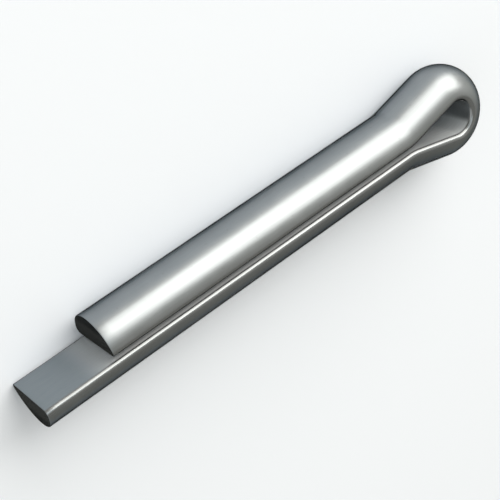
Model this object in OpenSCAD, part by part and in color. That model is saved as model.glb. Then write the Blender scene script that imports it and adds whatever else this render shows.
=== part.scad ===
// Split pin: one length of D-section wire folded back on itself, with a round eye and two legs.
// It lies on its side. X runs along the pin with the eye at +X, Y runs from leg to leg with the
// short leg at +Y, and Z is up, across the wire. Lengths are in millimetres.

/* [Shank] */
// Diameter of the round that both legs make together
shank_d = 3.6; // [2.8:0.1:4.4]
// Slit between the two flats
slit = 0.25; // [0.1:0.05:0.5]
// Length from the short leg's end to the neck of the eye
grip_length = 20; // [10:1:40]
// How far the long leg runs past the short one
prong = 4; // [1:0.5:8]
// Rounding along the two edges of the wire's flat
edge_round = 0.27; // [0.12:0.01:0.36]

/* [Eye] */
// Inside radius of the eye
eye_r = 0.95; // [0.7:0.05:1.8]
// Angle at which each leg leaves the shank for the eye
flare_angle = 14; // [10:1:22]
// Radius of the flat in the neck bend
neck_r = 2.95; // [2.5:0.05:4]

/* [Hidden] */
// The legs' backs lie on one circle about the pin's axis, and the slit is cut from its middle
shank_r = shank_d / 2;
flat_y = slit / 2;
thick = shank_r - flat_y;
// Each edge rounding touches the flat and the round back
round_z = sqrt(pow(shank_r - edge_round, 2) - pow(flat_y + edge_round, 2));
touch = atan2(flat_y + edge_round, round_z);
touch_y = shank_r * sin(touch) - flat_y;
half_width = round_z + edge_round;
// Straight lengths, coarse moves and coarse turns are kept to these steps
move_step = 0.001;
sine_step = 0.000001;
turn_tries = 60;
// The neck is the corner where the flat of a leg meets the flat of its flare
neck_x = prong + grip_length;
neck_cut = neck_r * tan(flare_angle / 2);
straight_end = stepped(neck_x - neck_cut, move_step);
flare_run = (eye_r * cos(flare_angle) - flat_y) / sin(flare_angle);
flare_length = stepped(flare_run - neck_cut, move_step);
flare_x = straight_end + neck_r * sin(flare_angle);
flare_y = flat_y + neck_r * (1 - cos(flare_angle));
// The eye's bend is tangent to both flares, so its true radius follows from their length
bend_r = (flare_y + flare_length * sin(flare_angle)) / cos(flare_angle);
eye_x = flare_x + flare_length * cos(flare_angle) + bend_r * sin(flare_angle);
total = eye_x + bend_r + thick;
$fn = 96;

// The nearest whole number of steps to a value
function stepped(value, step) = round(value / step) * step;

// A move made in a coarse and a fine step, so that neighbours meet truly
module shift(v) {
  coarse = [for (x = v) stepped(x, move_step)];
  translate(coarse) translate(v - coarse) children();
}

// A turn about Z made in the same way: of the turns close by, the coarse one has the sine and
// cosine whose squares come nearest to one
module turn(angle) {
  sines = [for (i = [-turn_tries:turn_tries]) stepped(sin(angle) + i * sine_step, sine_step)];
  turns = [for (s = sines) [s, stepped(sqrt(1 - s * s), sine_step)]];
  errors = [for (t = turns) abs(t * t - 1)];
  best = [for (i = [0:len(turns) - 1]) if (errors[i] == min(errors)) turns[i]][0];
  coarse = atan2(best[0], best[1]);
  rotate([0, 0, angle - coarse]) rotate([0, 0, coarse]) children();
}

// The wire's section: the flat on x = 0, the round back towards +x
module wire_section() {
  intersection() {
    translate([-flat_y, 0]) circle(r = shank_r);
    translate([touch_y, -shank_r]) square([shank_r, shank_d]);
  }
  translate([0, -round_z]) square([touch_y, 2 * round_z]);
  shift([edge_round, round_z]) circle(r = edge_round);
  shift([edge_round, -round_z]) circle(r = edge_round);
}

// A straight length of wire along +X, its flat facing -Y
module straight(length) {
  rotate([90, 0, 90]) linear_extrude(height = length) wire_section();
}

// One side of the wire from its cut end to the eye, on the +Y side
module side(end_x) {
  shift([end_x, flat_y, 0]) straight(straight_end - end_x);
  shift([straight_end, flat_y + neck_r, 0])
    rotate_extrude(angle = flare_angle, start = -90)
      shift([neck_r, 0]) mirror([1, 0]) wire_section();
  shift([flare_x, flare_y, 0]) turn(flare_angle) straight(flare_length);
}

// The bend that closes the eye
module eye() {
  shift([eye_x, 0, 0])
    rotate_extrude(angle = 180 + 2 * flare_angle, start = -90 - flare_angle)
      shift([bend_r, 0]) wire_section();
}

module split_pin() {
  color([0.55, 0.57, 0.59])
    shift([-total / 2, 0, half_width])
      union() {
        side(prong);
        mirror([0, 1, 0]) side(0);
        eye();
      }
}

split_pin();
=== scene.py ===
# %% [markdown]
# # A split pin, from wire to picture
# A split pin is one short length of D-section wire. It is folded flat to flat round a small former,
# so that the middle stays open as an eye, and both tails are sheared off, one longer than the other.
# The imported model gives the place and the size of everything. It is loaded first and is never moved.

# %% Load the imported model
import math

import bmesh
import bpy
from mathutils import Matrix, Quaternion, Vector


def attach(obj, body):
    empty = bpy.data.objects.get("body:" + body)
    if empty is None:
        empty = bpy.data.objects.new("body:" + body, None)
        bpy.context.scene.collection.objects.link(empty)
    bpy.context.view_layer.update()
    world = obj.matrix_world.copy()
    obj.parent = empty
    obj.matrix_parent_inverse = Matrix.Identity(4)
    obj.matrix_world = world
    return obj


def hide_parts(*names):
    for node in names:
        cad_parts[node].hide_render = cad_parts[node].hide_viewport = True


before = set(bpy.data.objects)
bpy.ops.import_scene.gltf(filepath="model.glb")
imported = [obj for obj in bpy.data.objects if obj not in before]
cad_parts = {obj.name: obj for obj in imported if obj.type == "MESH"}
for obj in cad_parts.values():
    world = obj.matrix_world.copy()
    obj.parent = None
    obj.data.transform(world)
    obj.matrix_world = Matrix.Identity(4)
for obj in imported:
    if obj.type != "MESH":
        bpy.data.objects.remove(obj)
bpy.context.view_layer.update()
print("packed nodes:", sorted(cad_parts))

# %% [markdown]
# ## The sizes of the wire and its path
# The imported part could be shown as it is, but its triangles know nothing of the wire's direction, and
# the drawing lines of the metal have to follow that. So the wire is swept again here from the same
# driving sizes, all in metres. The path is told by the flat of the wire: two straight legs, two neck
# bends, two straight flares and the bend of the eye, each tangent to the next. Every other size follows
# from these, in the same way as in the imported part.

# %% Driving sizes
mm = 0.001
shank_r = 1.8 * mm
flat_y = 0.125 * mm
edge_r = 0.27 * mm
grip = 20.0 * mm
prong = 4.0 * mm
hole_r = 0.95 * mm
neck_r = 2.95 * mm
flare = math.radians(14)
print("shank", round(2 * shank_r / mm, 3), "mm, slit", round(2 * flat_y / mm, 3), "mm")

# %% Sizes that follow


def stepped(length):
    """The nearest thousandth of a millimetre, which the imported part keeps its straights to."""
    return round(length / mm, 3) * mm


thick = shank_r - flat_y
edge_z = math.sqrt((shank_r - edge_r) ** 2 - (flat_y + edge_r) ** 2)
edge_turn = math.atan2(flat_y + edge_r, edge_z)
axis_z = edge_z + edge_r
neck_cut = neck_r * math.tan(flare / 2)
leg = stepped(prong + grip - neck_cut)
flare_length = stepped((hole_r * math.cos(flare) - flat_y) / math.sin(flare) - neck_cut)
flare_top = flat_y + neck_r * (1 - math.cos(flare)) + flare_length * math.sin(flare)
eye_r = flare_top / math.cos(flare)
eye_x = leg + (neck_r + eye_r) * math.sin(flare) + flare_length * math.cos(flare)
tip_x = -(eye_x + eye_r + thick) / 2
print("wire is", round(thick / mm, 3), "mm thick and", round(2 * axis_z / mm, 3), "mm wide")
print("straights are", round(leg / mm, 3), "and", round(flare_length / mm, 3), "mm long")

# %% [markdown]
# ## The section of the wire
# A round bar drawn through a D-shaped die gets one flat side with softened edges. The outline could be
# typed in as points. Spinning a single vertex is closer to drawing with compasses: it turns about the
# centre of the first edge, then about the centre of the pin for the round back, then about the second
# edge, and a straight line closes the flat. The two backs then lie on one circle, as on a real pin.
# Each vertex also notes its depth from the flat and its place across the wire, both in millimetres.

# %% Draw the section at the tip of the long leg
edge_steps = 12
back_steps = 60
flat_cuts = 11
along_x = Vector((1, 0, 0))
bm = bmesh.new()
wire = bm.verts.layers.float_vector.new("wire")


def only(kind, geom):
    """The vertices or the edges among the things that an operator gives."""
    return [g for g in geom if isinstance(g, kind)]


def arc(vert, centre, angle, steps):
    """Draws an arc in the section's plane from a vertex and gives the arc's last one."""
    spun = bmesh.ops.spin(bm, geom=[vert], cent=centre, axis=along_x, angle=angle, steps=steps)
    return only(bmesh.types.BMVert, spun["geom_last"])[0]


edge_corner = math.pi / 2 + edge_turn
lower_edge = (tip_x, -flat_y - edge_r, axis_z - edge_z)
upper_edge = (tip_x, -flat_y - edge_r, axis_z + edge_z)
start = bm.verts.new((tip_x, -flat_y, axis_z - edge_z))
pen = arc(start, lower_edge, -edge_corner, edge_steps)
pen = arc(pen, (tip_x, 0, axis_z), -(math.pi - 2 * edge_turn), back_steps)
pen = arc(pen, upper_edge, -edge_corner, edge_steps)
closing = bm.edges.new((pen, start))
bmesh.ops.subdivide_edges(bm, edges=[closing], cuts=flat_cuts)
for v in bm.verts:
    v[wire] = (0, (-v.co.y - flat_y) / mm, (v.co.z - axis_z) / mm)
first_ring = list(bm.edges)
print("section:", len(first_ring), "edges, crown at", round(min(v.co.y for v in bm.verts) / mm, 3), "mm")

# %% [markdown]
# ## Sweeping the wire
# A curve with a bevel object would also sweep the section, but it twists and thins at tight bends.
# Extrude and spin follow the folding itself: the ring of edges is pushed along each straight and spun
# round each bend. Every ring notes how far along the wire it is, beside its place in the section. This
# attribute is the wire's own map, and the metal's lines will follow it round the eye.

# %% Ways to carry a ring on
up = Vector((0, 0, 1))


def note(verts, travelled):
    """Writes the distance along the wire, in millimetres, on a new ring."""
    for v in verts:
        v[wire] = (travelled / mm, v[wire].y, v[wire].z)


def push(edges, travelled, heading, length, steps):
    """Extrudes a ring along a straight. Gives the last ring and the distance travelled."""
    for _ in range(steps):
        geom = bmesh.ops.extrude_edge_only(bm, edges=edges)["geom"]
        verts = only(bmesh.types.BMVert, geom)
        bmesh.ops.translate(bm, verts=verts, vec=heading * (length / steps))
        travelled += length / steps
        note(verts, travelled)
        new = set(verts)
        edges = [e for e in only(bmesh.types.BMEdge, geom) if new.issuperset(e.verts)]
    return edges, travelled


def bend(edges, travelled, centre, angle, radius, steps):
    """Spins a ring round a bend. Gives the last ring and the distance travelled."""
    for _ in range(steps):
        verts = list(dict.fromkeys(v for e in edges for v in e.verts))
        spun = bmesh.ops.spin(bm, geom=edges + verts, cent=centre, axis=up, angle=angle / steps, steps=1)
        travelled += radius * abs(angle) / steps
        note(only(bmesh.types.BMVert, spun["geom_last"]), travelled)
        edges = only(bmesh.types.BMEdge, spun["geom_last"])
    return edges, travelled


print("ready to sweep", len(first_ring), "edges")

# %% Sweep the long leg, the eye and the short leg
leg_rings = 40
short_rings = 34
flare_rings = 8
neck_rings = 12
eye_rings = 80
neck_y = flat_y + neck_r
out_way = Vector((math.cos(flare), -math.sin(flare), 0))
back_way = Vector((-math.cos(flare), -math.sin(flare), 0))
ring, at = push(first_ring, 0.0, along_x, leg, leg_rings)
ring, at = bend(ring, at, (tip_x + leg, -neck_y, 0), -flare, neck_r, neck_rings)
ring, at = push(ring, at, out_way, flare_length, flare_rings)
eye_from = at / mm
ring, at = bend(ring, at, (tip_x + eye_x, 0, 0), math.pi + 2 * flare, eye_r, eye_rings)
eye_to = at / mm
ring, at = push(ring, at, back_way, flare_length, flare_rings)
ring, at = bend(ring, at, (tip_x + leg, neck_y, 0), -flare, neck_r, neck_rings)
last_ring, at = push(ring, at, -along_x, leg - prong, short_rings)
print("flat is", round(at / mm, 2), "mm long, eye from", round(eye_from, 2), "to", round(eye_to, 2), "mm")

# %% [markdown]
# ## The sheared ends
# The tails are cut square by a shear, and a shear leaves a crisp rim with a hair of rounding. Each end
# is filled with one face, and its rim gets a narrow bevel. A modifier could round the rims too, but it
# would have to be told to leave the rest of the wire alone. The end faces take a second material,
# because a torn surface is duller than a drawn one.

# %% Close the ends and make the piece
rim_bevel = 0.035 * mm
drawn_slot = 0
sheared_slot = 1
ends = [bmesh.ops.contextual_create(bm, geom=rim)["faces"][0] for rim in (first_ring, last_ring)]
bmesh.ops.recalc_face_normals(bm, faces=bm.faces)
rims = list(dict.fromkeys(e for face in ends for e in face.edges))
bmesh.ops.bevel(
    bm, geom=rims, offset=rim_bevel, offset_type="OFFSET", segments=3, profile=0.5,
    affect="EDGES", material=-1, clamp_overlap=True,
)
# Every face along the wire has four corners, and only the two end faces have more.
for face in bm.faces:
    is_end = len(face.verts) > 4
    face.smooth = not is_end
    face.material_index = sheared_slot if is_end else drawn_slot
mesh = bpy.data.meshes.new("split_pin_wire")
bm.to_mesh(mesh)
bm.free()
pin = bpy.data.objects.new("split_pin_wire", mesh)
bpy.context.scene.collection.objects.link(pin)
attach(pin, "root")
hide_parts("split_pin")
print("piece:", pin.name, len(mesh.vertices), "vertices,", len(mesh.polygons), "faces")

# %% [markdown]
# ## Helpers that place nodes
# Materials could be wired by hand in the shader editor. In a script, a few helpers keep the wiring short:
# one adds any node, one does sums and one starts a node group. More of them follow where they are needed.

# %% Node helpers


def add(tree, kind, links=(), **values):
    """Adds a node, sets its properties and sockets by name, and joins (output, input name) pairs."""
    node = tree.nodes.new(kind)
    for name, value in values.items():
        if hasattr(node, name):
            setattr(node, name, value)
        else:
            node.inputs[name].default_value = value
    for output, socket in links:
        tree.links.new(output, node.inputs[socket])
    return node


def maths(tree, operation, *values):
    """A sum of sockets or numbers. Gives its result."""
    node = add(tree, "ShaderNodeMath", operation=operation)
    for socket, value in zip(node.inputs, values):
        if isinstance(value, float):
            socket.default_value = value
        else:
            tree.links.new(value, socket)
    return node.outputs[0]


def group(name, inputs, outputs):
    """Starts a node group from (name, default) inputs and output names. Gives it with its sockets."""
    tree = bpy.data.node_groups.new(name, "ShaderNodeTree")
    tree.interface.new_socket("Vector", in_out="INPUT", socket_type="NodeSocketVector")
    for socket, value in inputs:
        made = tree.interface.new_socket(socket, in_out="INPUT", socket_type="NodeSocketFloat")
        made.default_value = value
    for socket in outputs:
        tree.interface.new_socket(socket, in_out="OUTPUT", socket_type="NodeSocketFloat")
    return tree, tree.nodes.new("NodeGroupInput").outputs, tree.nodes.new("NodeGroupOutput").inputs


print("helpers:", add.__name__, maths.__name__, group.__name__)

# %% [markdown]
# ## Two effects that both finishes share
# Drawing and shearing both leave fine parallel lines, and handling leaves cloudy dull patches and small
# nicks. Each is made once as a node group and placed in both materials with its own values. The lines
# are a noise that is stretched along the first axis of the vector that comes in, so the material
# decides their way.

# %% The parallel lines
broad_share = 0.22
lines, given, result = group("parallel_lines", (("Stretch", 8.0), ("Fineness", 14.0)), ("Fine", "Broad"))
x, y, z = add(lines, "ShaderNodeSeparateXYZ", [(given["Vector"], 0)]).outputs
slow_x = maths(lines, "DIVIDE", x, given["Stretch"])
stretched = add(lines, "ShaderNodeCombineXYZ", [(slow_x, "X"), (y, "Y"), (z, "Z")]).outputs[0]
broad_scale = maths(lines, "MULTIPLY", given["Fineness"], broad_share)
fine_links = [(stretched, "Vector"), (given["Fineness"], "Scale")]
fine_noise = add(lines, "ShaderNodeTexNoise", fine_links, Detail=3.0, Roughness=0.6)
broad_noise = add(lines, "ShaderNodeTexNoise", [(stretched, "Vector"), (broad_scale, "Scale")], Detail=1.0)
lines.links.new(fine_noise.outputs["Fac"], result["Fine"])
lines.links.new(broad_noise.outputs["Fac"], result["Broad"])
print("node group:", lines.name, len(lines.nodes), "nodes")

# %% The handling clouds and nicks
nick_share = 3.0
nick_size = (0.05, 0.16)
whole = (0.0, 1.0)
falling = (1.0, 0.0)


def carry(tree, value, between, to=whole, shape="LINEAR"):
    """Carries a value from one range to another and holds it at both ends."""
    node = add(tree, "ShaderNodeMapRange", [(value, "Value")], interpolation_type=shape)
    for socket, number in zip(("From Min", "From Max", "To Min", "To Max"), (*between, *to)):
        node.inputs[socket].default_value = number
    return node.outputs[0]


clouds, given, result = group("handling_clouds", (("Scale", 700.0),), ("Cloud", "Nicks"))
cloud_links = [(given["Vector"], "Vector"), (given["Scale"], "Scale")]
cloud_noise = add(clouds, "ShaderNodeTexNoise", cloud_links, Detail=4.0, Roughness=0.55, Distortion=0.4)
nick_scale = maths(clouds, "MULTIPLY", given["Scale"], nick_share)
cells = add(clouds, "ShaderNodeTexVoronoi", [(given["Vector"], "Vector"), (nick_scale, "Scale")])
nick_spots = carry(clouds, cells.outputs["Distance"], nick_size, falling, "SMOOTHSTEP")
clouds.links.new(cloud_noise.outputs["Fac"], result["Cloud"])
clouds.links.new(nick_spots, result["Nicks"])
print("node group:", clouds.name, len(clouds.nodes), "nodes")

# %% [markdown]
# ## Drawn steel: where its places are
# Bright wire is bare steel, but it isn't the same everywhere. The edges of the flat are rubbed sleek. The
# outside of the eye is stretched grainy and gets painted light, and the former pressed its inside smooth.
# The flat is dull; it gets painted light where the legs cover each other and in the eye, and painted shade
# where the long leg's tip lies bare. A mask could be painted for each place, but the wire's own map already
# knows where every point lies, so each mask is a range of that map, in millimetres.

# %% Start the drawn steel from the wire's own map


def material(name):
    """A new node material, its tree and its shader's sockets."""
    made = bpy.data.materials.new(name)
    made.use_nodes = True
    return made, made.node_tree, made.node_tree.nodes["Principled BSDF"].inputs


drawn, tree, shader = material("drawn_steel")
place = add(tree, "ShaderNodeAttribute", attribute_name="wire").outputs["Vector"]
here = add(tree, "ShaderNodeTexCoord").outputs["Object"]
along, depth, across = add(tree, "ShaderNodeSeparateXYZ", [(place, 0)]).outputs
die = add(tree, "ShaderNodeGroup", [(place, "Vector")], node_tree=lines, Stretch=30.0, Fineness=16.0).outputs
hands = add(tree, "ShaderNodeGroup", [(here, "Vector")], node_tree=clouds, Scale=650.0).outputs
print("outputs for the finish:", [socket.name for socket in (*die, *hands)])

# %% The edges, the flat and its lip
edge_lead = 0.05
edge_across = (edge_z / mm + edge_lead, axis_z / mm)
edge_depth = (0.16, 0.30)
flat_depth = (0.0, 0.02)
lip_depth = (0.06, 0.115)
rim_side = carry(tree, maths(tree, "ABSOLUTE", across), edge_across)
edge = maths(tree, "MULTIPLY", rim_side, carry(tree, depth, edge_depth, falling))
flat_side = carry(tree, depth, flat_depth, falling)
# The lip beside the flat takes painted shade, which dims the flat-side half of the edge's highlight.
lip_side = carry(tree, depth, lip_depth, falling)
print("edges lie", [round(a, 3) for a in edge_across], "mm from the middle, the flat ends at", flat_depth[1])

# %% The eye, with painted light outside and pressed inside
eye_light_lead = 2.0
eye_light_fade = (0.62, 0.84)
eye_light_depth = (0.3, 0.8)
press_fade = (0.27, 0.35)
press_left = 0.25
eye_span = eye_to - eye_from
eye_light_in = (eye_from - eye_light_lead, eye_from)
eye_light_out = [eye_from + share * eye_span for share in eye_light_fade]
press_in = [eye_from + share * eye_span for share in press_fade]
press_out = [eye_to - share * eye_span for share in reversed(press_fade)]
# Painted light: the outside of the eye is made lighter, in place of a brighter reflection of the room there.
eye_side = carry(tree, along, eye_light_in)
eye_light = maths(tree, "MULTIPLY", eye_side, carry(tree, along, eye_light_out, falling))
eye_light = maths(tree, "MULTIPLY", eye_light, carry(tree, depth, eye_light_depth))
before_press = carry(tree, along, press_in, (1.0, press_left))
after_press = carry(tree, along, press_out, (press_left, 1.0))
unpressed = maths(tree, "MAXIMUM", before_press, after_press)
on_flat = maths(tree, "MULTIPLY", flat_side, unpressed)
on_lip = maths(tree, "MULTIPLY", lip_side, unpressed)
print("eye takes", round(eye_span, 2), "mm of the flat, pressed from", [round(a, 2) for a in press_in])

# %% Where the flat gets painted light between the legs and painted shade on the bare tip
cover_end = (leg / mm - 1.0, leg / mm + 1.5)
cover_again = (eye_to + 2.0, eye_to + 4.0)
prong_shade_end = (2.2, prong / mm + 1.0)
# Painted light on the flat where the legs lie over each other, against the shade in the narrow slit between
# them.
covered_painted_light = maths(tree, "MAXIMUM", carry(tree, along, cover_end, falling), carry(tree, along, cover_again))
# Painted shade on the flat of the long leg's bare tip, where the key light falls on it directly.
prong_painted_shade = carry(tree, along, prong_shade_end, falling, "SMOOTHSTEP")
print("handled up to", prong_shade_end, "mm from the long tip")

# %% [markdown]
# ## Drawn steel: its colours
# Steel is a little cool. The colour changes softly in clouds and along the drawing lines, it is lighter on
# rubbed edges and darker in nicks. The outside of the eye is lightened with painted light, and the lip
# beside the flat is darkened with painted shade that dims part of the edge's bright line. All of it is
# faint, because the broad soft highlight has to stay whole. The flat has its own colours and is less
# metallic, since a dull skin scatters the light; it is lightened with painted light between the legs and in
# the eye, and darkened with painted shade where the long leg's tip lies bare. The dark Specular Tint makes
# the metal darken towards its outline, as the wire in the photograph does.

# %% A helper that mixes colours
# A mix node has sockets for numbers, vectors and colours, and these are the places of the colours.
colour_inputs = (6, 7)
colour_output = 2


def mix(tree, factor, first, second):
    """Mixes two colours, each of them a socket or plain numbers."""
    node = add(tree, "ShaderNodeMix", [(factor, "Factor")], data_type="RGBA")
    for socket, colour in zip(colour_inputs, (first, second)):
        if isinstance(colour, tuple):
            node.inputs[socket].default_value = (*colour, 1)
        else:
            tree.links.new(colour, node.inputs[socket])
    return node.outputs[colour_output]


print("colours are mixed from inputs", colour_inputs, "into output", colour_output)

# %% The colours of the back and the edges
middle = (0.3, 0.7)
line_tone = 0.65
nick_tone = 0.25
back_dark = (0.261, 0.285, 0.302)
back_light = (0.292, 0.317, 0.334)
back_line = (0.256, 0.276, 0.291)
edge_rubbed = (0.309, 0.332, 0.348)
nick_dark = (0.207, 0.212, 0.217)
# painted light on the outside of the eye, lighter than the rest of the back
eye_painted_light = (0.353, 0.385, 0.40)
# painted shade on the lip beside the flat, which narrows the edge's bright line
lip_painted_shade = (0.178, 0.188, 0.193)
steel = mix(tree, carry(tree, hands["Cloud"], middle), back_dark, back_light)
steel = mix(tree, carry(tree, die["Fine"], middle, (0.0, line_tone)), steel, back_line)
steel = mix(tree, maths(tree, "MULTIPLY", edge, hands["Cloud"]), steel, edge_rubbed)
steel = mix(tree, maths(tree, "MULTIPLY", hands["Nicks"], nick_tone), steel, nick_dark)
steel = mix(tree, eye_light, steel, eye_painted_light)
steel = mix(tree, on_lip, steel, lip_painted_shade)
print("back and edges mixed with", len(tree.nodes), "nodes so far")

# %% The colours of the flat
flat_line_tone = 0.3
flat_metal = 0.25
dark_outline = (0.01, 0.01, 0.01, 1)
flat_long_flare = (0.36, 0.38, 0.40)
# Painted light: the flat in and beside the eye is paler, against the shade inside the loop.
flat_eye_painted_light = (0.52, 0.555, 0.58)
# Painted light: the flat between the legs is paler still, against the shade in the slit.
flat_painted_light = (0.575, 0.595, 0.61)
# Painted shade: the bare tip's flat is darker, against the key light that reaches it directly.
flat_painted_shade = (0.15, 0.181, 0.207)
flat_line = (0.217, 0.234, 0.245)
flat_steel = mix(tree, eye_side, flat_long_flare, flat_eye_painted_light)
flat_steel = mix(tree, covered_painted_light, flat_steel, flat_painted_light)
flat_steel = mix(tree, prong_painted_shade, flat_steel, flat_painted_shade)
flat_steel = mix(tree, carry(tree, die["Fine"], middle, (0.0, flat_line_tone)), flat_steel, flat_line)
tree.links.new(mix(tree, on_flat, steel, flat_steel), shader["Base Color"])
tree.links.new(carry(tree, on_flat, whole, (1.0, flat_metal)), shader["Metallic"])
shader["Specular Tint"].default_value = dark_outline
print("colours mixed with", len(tree.nodes), "nodes so far")

# %% [markdown]
# ## Drawn steel: its sheen and relief
# A die leaves a satin sheen, so the roughness is low and drifts a little in clouds and broad lines. The
# flat is duller and the rubbed edges are sleeker. The relief is only a few thousandths of a millimetre:
# the drawing lines, the nicks, and a fine grain on the outside of the eye. Real geometry for that would
# be far too heavy, and a bump does it.

# %% The sheen of the drawn steel
satin = (0.30, 0.35)
line_drift = (-0.03, 0.03)
flat_dull = 0.2
edge_sleek = 0.12
sheen = carry(tree, hands["Cloud"], middle, satin)
sheen = maths(tree, "ADD", sheen, carry(tree, die["Broad"], middle, line_drift))
sheen = maths(tree, "ADD", sheen, maths(tree, "MULTIPLY", on_flat, flat_dull))
sheen = maths(tree, "SUBTRACT", sheen, maths(tree, "MULTIPLY", edge, edge_sleek))
tree.links.new(sheen, shader["Roughness"])
print("roughness", satin, "on the back,", flat_dull, "more on the flat and", edge_sleek, "less on the edges")

# %% The relief of the drawn steel
stretch_length = 1.5
stretch_depth = (0.9, 1.6)
grain_scale = 9000.0
line_depth = 0.006 * mm
stretched_in = carry(tree, along, (eye_from, eye_from + stretch_length))
stretched_out = carry(tree, along, (eye_to - stretch_length, eye_to), falling)
grainy = maths(tree, "MULTIPLY", stretched_in, stretched_out)
grainy = maths(tree, "MULTIPLY", grainy, carry(tree, depth, stretch_depth))
grain = add(tree, "ShaderNodeTexNoise", [(here, "Vector")], Scale=grain_scale, Detail=2.0).outputs["Fac"]
relief = maths(tree, "ADD", die["Fine"], maths(tree, "MULTIPLY", grain, grainy))
relief = maths(tree, "SUBTRACT", relief, hands["Nicks"])
bump = add(tree, "ShaderNodeBump", [(relief, "Height")], Strength=0.2, Distance=line_depth)
tree.links.new(bump.outputs["Normal"], shader["Normal"])
mesh.materials.append(drawn)
print("material:", drawn.name, len(tree.nodes), "nodes")

# %% [markdown]
# ## The torn steel of the ends
# A shear first slides and then tears, so its face has short lines in the way of the cut, a smoother
# part where the blade came in and a grey grainy rest. It has seen no die, and it is darker. The same two
# groups are used as on the wire, with their lines turned across the section.

# %% Start the sheared steel with lines in the way of the cut
sheared, tree, shader = material("sheared_steel")
place = add(tree, "ShaderNodeAttribute", attribute_name="wire").outputs["Vector"]
here = add(tree, "ShaderNodeTexCoord").outputs["Object"]
_, depth, across = add(tree, "ShaderNodeSeparateXYZ", [(place, 0)]).outputs
cut_way = add(tree, "ShaderNodeCombineXYZ", [(depth, "X"), (across, "Y")]).outputs[0]
blade_links = [(cut_way, "Vector")]
blade = add(tree, "ShaderNodeGroup", blade_links, node_tree=lines, Stretch=9.0, Fineness=12.0).outputs
hands = add(tree, "ShaderNodeGroup", [(here, "Vector")], node_tree=clouds, Scale=1800.0).outputs
print("outputs for the cut:", [socket.name for socket in (*blade, *hands)])

# %% The colours, the sheen and the relief of the cut
torn_depth = (0.9, 1.15)
torn_sheen = (0.34, 0.5)
tear_tone = 0.45
tear_relief = 0.015 * mm
cut_smooth = (0.17, 0.176, 0.172)
cut_torn = (0.115, 0.119, 0.115)
cut_line = (0.07, 0.07, 0.07)
torn = carry(tree, depth, torn_depth, falling)
torn_steel = mix(tree, torn, cut_smooth, cut_torn)
torn_steel = mix(tree, carry(tree, blade["Fine"], middle, (0.0, tear_tone)), torn_steel, cut_line)
ridges = maths(tree, "ADD", blade["Fine"], hands["Cloud"])
bump = add(tree, "ShaderNodeBump", [(ridges, "Height")], Strength=0.18, Distance=tear_relief)
tree.links.new(torn_steel, shader["Base Color"])
tree.links.new(carry(tree, torn, whole, torn_sheen), shader["Roughness"])
tree.links.new(bump.outputs["Normal"], shader["Normal"])
shader["Metallic"].default_value = 1.0
shader["Specular Tint"].default_value = dark_outline
mesh.materials.append(sheared)
print("material:", sheared.name, len(tree.nodes), "nodes")

# %% [markdown]
# ## The floor
# The pin lies on a plain pale floor. Bright wire mirrors it on its lower sides, and it takes the pin's
# soft shadow. A plane would do as well as this disc, which has no corners to show in a low view.

# %% The floor
floor_r = 2.0
paper_colour = (0.82, 0.87, 0.939, 1)
bm = bmesh.new()
bmesh.ops.create_circle(bm, cap_ends=True, segments=64, radius=floor_r)
floor_mesh = bpy.data.meshes.new("floor")
bm.to_mesh(floor_mesh)
bm.free()
floor = bpy.data.objects.new("floor", floor_mesh)
bpy.context.scene.collection.objects.link(floor)
paper, _, shader = material("pale_paper")
shader["Base Color"].default_value = paper_colour
shader["Roughness"].default_value = 0.8
shader["Specular IOR Level"].default_value = 0.1
floor_mesh.materials.append(paper)
print("floor:", floor_r, "m in radius, at the height on which the pin lies")

# %% [markdown]
# ## The lights
# Bright wire is mostly a picture of the room. One soft box, low on the side of the short leg, draws the
# broad bright band along its crown and the fine line on the edge of the long leg. It is rolled a little,
# so that the band keeps its width from the eye to the tips. A second, weaker one on the camera's side
# evens out the floor, and the legs don't mirror it. A picture of a real studio could light the pin too,
# but two boxes are easy to read and to change.

# %% The soft boxes


def softbox(name, azimuth, elevation, roll, distance, wide, tall, glow, colour):
    """A rectangular light that faces the pin. Its glow is its brightness as the metal sees it."""
    lamp = bpy.data.lights.new(name, "AREA")
    lamp.shape = "RECTANGLE"
    lamp.size = wide
    lamp.size_y = tall
    lamp.energy = glow * math.pi * wide * tall
    lamp.color = colour
    box = bpy.data.objects.new(name, lamp)
    bpy.context.scene.collection.objects.link(box)
    az, el = math.radians(azimuth), math.radians(elevation)
    way = Vector((math.cos(el) * math.cos(az), math.cos(el) * math.sin(az), math.sin(el)))
    box.location = way * distance + Vector((0, 0, axis_z))
    rolled_box = Quaternion((0, 0, 1), math.radians(roll))
    box.rotation_euler = (way.to_track_quat("Z", "Y") @ rolled_box).to_euler()
    box.visible_camera = False
    print("light:", name, "at", [round(c, 3) for c in box.location], "m,", round(lamp.energy, 3), "W")


softbox(
    "band_softbox", azimuth=52.5, elevation=30, roll=16, distance=0.40, wide=0.43, tall=0.345,
    glow=3.77, colour=(1.0, 0.95, 0.88),
)
softbox(
    "floor_softbox", azimuth=126, elevation=52, roll=0, distance=1.0, wide=1.0, tall=1.0,
    glow=0.78, colour=(0.93, 0.98, 1.0),
)

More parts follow.
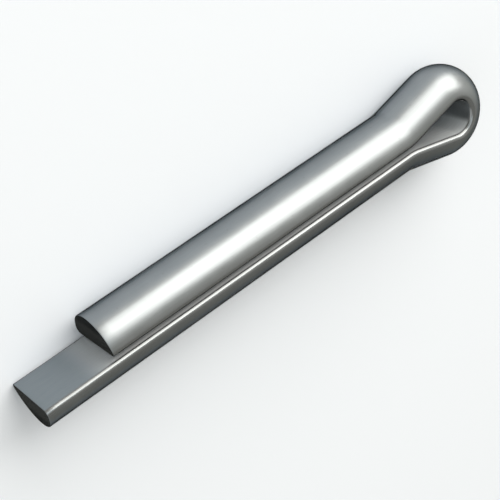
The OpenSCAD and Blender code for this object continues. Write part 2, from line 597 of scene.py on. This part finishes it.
# %% [markdown]
# ## The room
# The rest of the room is grey. It grows brighter towards the eye's end, which gives the back of the wire
# its slow change from dark to light. A pale window beyond the tips shows in the legs when they are
# looked at along their length. An even grey would be simpler, but the wire would look like a flat strip.

# %% The grey room
bright_way = (0.85, 0.5, -0.05)
bright_range = (0.1, 0.7)
window_way = (-0.97, 0.0, 0.24)
window_range = (0.80, 0.95)
dim_grey = (0.404, 0.382, 0.336)
bright_grey = (0.985, 0.938, 0.85)
window_white = (1.1, 1.06, 1.0)
world = bpy.data.worlds.new("grey_room")
world.use_nodes = True
tree = world.node_tree
looked = add(tree, "ShaderNodeTexCoord").outputs["Generated"]


def towards(way):
    """How far the direction that is looked in agrees with a given one."""
    node = add(tree, "ShaderNodeVectorMath", [(looked, 0)], operation="DOT_PRODUCT")
    node.inputs[1].default_value = way
    return node.outputs["Value"]


brighter = carry(tree, towards(bright_way), bright_range)
window = carry(tree, towards(window_way), window_range)
room = mix(tree, brighter, dim_grey, bright_grey)
room = mix(tree, window, room, window_white)
tree.links.new(room, tree.nodes["Background"].inputs["Color"])
bpy.context.scene.world = world
print("room:", world.name, len(tree.nodes), "nodes")

# %% [markdown]
# ## The camera
# The picture looks down on the pin's side from beyond the tips, with the camera rolled so that the eye
# points to the upper right. Its place, turn and lens were worked out so that the tips, the outline and
# the hole fall where the photograph has them. A camera aimed by a Track To constraint would be quicker to
# place, but it can't be rolled so freely.

# %% The camera
camera_at = Vector((-25.164, 31.713, 45.587)) * mm
looking = Vector((0.3983, -0.54286, -0.73937)).normalized()
rough_top = Vector((0.52488, 0.79594, -0.30164))
side = looking.cross(rough_top).normalized()
top = side.cross(looking)
lens = bpy.data.cameras.new("camera")
lens.lens = 83.8155
lens.sensor_width = 36.0
lens.clip_start = 0.001
camera = bpy.data.objects.new("camera", lens)
bpy.context.scene.collection.objects.link(camera)
turned = Matrix((side, top, -looking)).transposed().to_4x4()
camera.matrix_world = Matrix.Translation(camera_at) @ turned
bpy.context.scene.camera = camera
bpy.context.scene.view_settings.view_transform = "Standard"
print("camera", round(camera_at.length / mm, 1), "mm from the origin, lens", round(lens.lens, 2), "mm")
